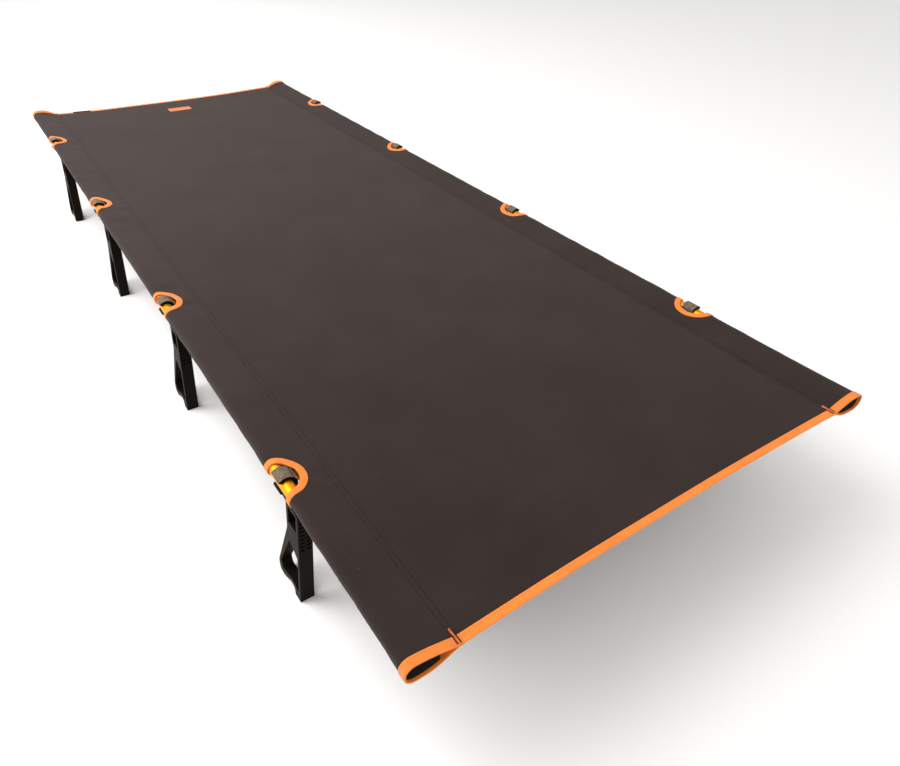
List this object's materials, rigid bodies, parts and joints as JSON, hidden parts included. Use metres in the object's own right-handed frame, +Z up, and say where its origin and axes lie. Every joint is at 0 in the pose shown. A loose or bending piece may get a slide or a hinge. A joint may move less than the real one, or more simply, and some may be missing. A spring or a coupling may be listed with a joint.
{
  "type": "folding cot",
  "caption": "Low take-down camping cot: a woven cover with pole sleeves, two side poles and cross bars on hook-on lever legs.",
  "frame": {"origin": "on the floor under the middle of the bed", "axes": "+X to the right of someone lying down facing up with the head at +Y, +Y towards the head end, +Z up"},
  "size_m": [0.717, 1.9, 0.2025],
  "materials": {
    "cover_fabric": "plain-woven polyester, matt with a slight coated sheen",
    "trim_webbing": "ribbed polyester webbing and binding tape",
    "pocket_webbing": "woven nylon webbing",
    "label_fabric": "woven label, blank",
    "pole_gold": "gold anodised, satin",
    "insert_metal": "plain drawn tube",
    "leg_plastic": "moulded glass-filled nylon",
    "fitting_plastic": "moulded nylon",
    "pin_steel": "plain rivet",
    "cord_rubber": "covered elastic cord"
  },
  "bodies": {
    "root": {"cover_deck": "cover_fabric", "sleeve_left": "cover_fabric", "sleeve_right": "cover_fabric", "hem_binding_foot": "trim_webbing", "hem_binding_head": "trim_webbing", "window_bindings": "trim_webbing", "pole_end_pockets": "pocket_webbing", "blank_label": "label_fabric", "head_tab": "pocket_webbing", "pole_left_1": "pole_gold", "pole_left_2": "pole_gold", "pole_left_3": "pole_gold", "pole_left_4": "pole_gold", "pole_ferrules_left": "insert_metal", "pole_caps_left": "fitting_plastic", "shock_cord_left": "cord_rubber", "pole_right_1": "pole_gold", "pole_right_2": "pole_gold", "pole_right_3": "pole_gold", "pole_right_4": "pole_gold", "pole_ferrules_right": "insert_metal", "pole_caps_right": "fitting_plastic", "shock_cord_right": "cord_rubber"},
    "lever_left_1": {"leg_left_1": "leg_plastic", "clevis_pin_left_1": "pin_steel"},
    "bar_left_1": {"bar_fitting_left_1": "fitting_plastic", "bar_tube_left_1": "pole_gold", "bar_slide_1": "insert_metal"},
    "lever_right_1": {"leg_right_1": "leg_plastic", "clevis_pin_right_1": "pin_steel"},
    "bar_right_1": {"bar_fitting_right_1": "fitting_plastic", "bar_tube_right_1": "pole_gold"},
    "lever_left_2": {"leg_left_2": "leg_plastic", "clevis_pin_left_2": "pin_steel"},
    "bar_left_2": {"bar_fitting_left_2": "fitting_plastic", "bar_tube_left_2": "pole_gold", "bar_slide_2": "insert_metal"},
    "lever_right_2": {"leg_right_2": "leg_plastic", "clevis_pin_right_2": "pin_steel"},
    "bar_right_2": {"bar_fitting_right_2": "fitting_plastic", "bar_tube_right_2": "pole_gold"},
    "lever_left_3": {"leg_left_3": "leg_plastic", "clevis_pin_left_3": "pin_steel"},
    "bar_left_3": {"bar_fitting_left_3": "fitting_plastic", "bar_tube_left_3": "pole_gold", "bar_slide_3": "insert_metal"},
    "lever_right_3": {"leg_right_3": "leg_plastic", "clevis_pin_right_3": "pin_steel"},
    "bar_right_3": {"bar_fitting_right_3": "fitting_plastic", "bar_tube_right_3": "pole_gold"},
    "lever_left_4": {"leg_left_4": "leg_plastic", "clevis_pin_left_4": "pin_steel"},
    "bar_left_4": {"bar_fitting_left_4": "fitting_plastic", "bar_tube_left_4": "pole_gold", "bar_slide_4": "insert_metal"},
    "lever_right_4": {"leg_right_4": "leg_plastic", "clevis_pin_right_4": "pin_steel"},
    "bar_right_4": {"bar_fitting_right_4": "fitting_plastic", "bar_tube_right_4": "pole_gold"}
  },
  "joints": [
    {"name": "lever_swing_left_1", "type": "hinge", "parent": "root", "child": "lever_left_1", "pos_m": [-0.3465, 0.681, 0.19], "axis": [0, 1, 0], "range_deg": [0, 50]},
    {"name": "bar_pivot_left_1", "type": "hinge", "parent": "lever_left_1", "child": "bar_left_1", "pos_m": [-0.3245, 0.681, 0.121], "axis": [0, -1, 0], "range_deg": [0, 50]},
    {"name": "lever_swing_right_1", "type": "hinge", "parent": "root", "child": "lever_right_1", "pos_m": [0.3465, 0.681, 0.19], "axis": [0, -1, 0], "range_deg": [0, 50]},
    {"name": "bar_pivot_right_1", "type": "hinge", "parent": "lever_right_1", "child": "bar_right_1", "pos_m": [0.3245, 0.681, 0.121], "axis": [0, 1, 0], "range_deg": [0, 50]},
    {"name": "lever_swing_left_2", "type": "hinge", "parent": "root", "child": "lever_left_2", "pos_m": [-0.3465, 0.227, 0.19], "axis": [0, 1, 0], "range_deg": [0, 50]},
    {"name": "bar_pivot_left_2", "type": "hinge", "parent": "lever_left_2", "child": "bar_left_2", "pos_m": [-0.3245, 0.227, 0.121], "axis": [0, -1, 0], "range_deg": [0, 50]},
    {"name": "lever_swing_right_2", "type": "hinge", "parent": "root", "child": "lever_right_2", "pos_m": [0.3465, 0.227, 0.19], "axis": [0, -1, 0], "range_deg": [0, 50]},
    {"name": "bar_pivot_right_2", "type": "hinge", "parent": "lever_right_2", "child": "bar_right_2", "pos_m": [0.3245, 0.227, 0.121], "axis": [0, 1, 0], "range_deg": [0, 50]},
    {"name": "lever_swing_left_3", "type": "hinge", "parent": "root", "child": "lever_left_3", "pos_m": [-0.3465, -0.227, 0.19], "axis": [0, 1, 0], "range_deg": [0, 50]},
    {"name": "bar_pivot_left_3", "type": "hinge", "parent": "lever_left_3", "child": "bar_left_3", "pos_m": [-0.3245, -0.227, 0.121], "axis": [0, -1, 0], "range_deg": [0, 50]},
    {"name": "lever_swing_right_3", "type": "hinge", "parent": "root", "child": "lever_right_3", "pos_m": [0.3465, -0.227, 0.19], "axis": [0, -1, 0], "range_deg": [0, 50]},
    {"name": "bar_pivot_right_3", "type": "hinge", "parent": "lever_right_3", "child": "bar_right_3", "pos_m": [0.3245, -0.227, 0.121], "axis": [0, 1, 0], "range_deg": [0, 50]},
    {"name": "lever_swing_left_4", "type": "hinge", "parent": "root", "child": "lever_left_4", "pos_m": [-0.3465, -0.681, 0.19], "axis": [0, 1, 0], "range_deg": [0, 50]},
    {"name": "bar_pivot_left_4", "type": "hinge", "parent": "lever_left_4", "child": "bar_left_4", "pos_m": [-0.3245, -0.681, 0.121], "axis": [0, -1, 0], "range_deg": [0, 50]},
    {"name": "lever_swing_right_4", "type": "hinge", "parent": "root", "child": "lever_right_4", "pos_m": [0.3465, -0.681, 0.19], "axis": [0, -1, 0], "range_deg": [0, 50]},
    {"name": "bar_pivot_right_4", "type": "hinge", "parent": "lever_right_4", "child": "bar_right_4", "pos_m": [0.3245, -0.681, 0.121], "axis": [0, 1, 0], "range_deg": [0, 50]}
  ],
  "couplings": [
    {"joint": "bar_pivot_left_1", "follows": "lever_swing_left_1", "ratio": 1},
    {"joint": "lever_swing_right_1", "follows": "lever_swing_left_1", "ratio": 1},
    {"joint": "bar_pivot_right_1", "follows": "lever_swing_left_1", "ratio": 1},
    {"joint": "bar_pivot_left_2", "follows": "lever_swing_left_2", "ratio": 1},
    {"joint": "lever_swing_right_2", "follows": "lever_swing_left_2", "ratio": 1},
    {"joint": "bar_pivot_right_2", "follows": "lever_swing_left_2", "ratio": 1},
    {"joint": "bar_pivot_left_3", "follows": "lever_swing_left_3", "ratio": 1},
    {"joint": "lever_swing_right_3", "follows": "lever_swing_left_3", "ratio": 1},
    {"joint": "bar_pivot_right_3", "follows": "lever_swing_left_3", "ratio": 1},
    {"joint": "bar_pivot_left_4", "follows": "lever_swing_left_4", "ratio": 1},
    {"joint": "lever_swing_right_4", "follows": "lever_swing_left_4", "ratio": 1},
    {"joint": "bar_pivot_right_4", "follows": "lever_swing_left_4", "ratio": 1}
  ]
}
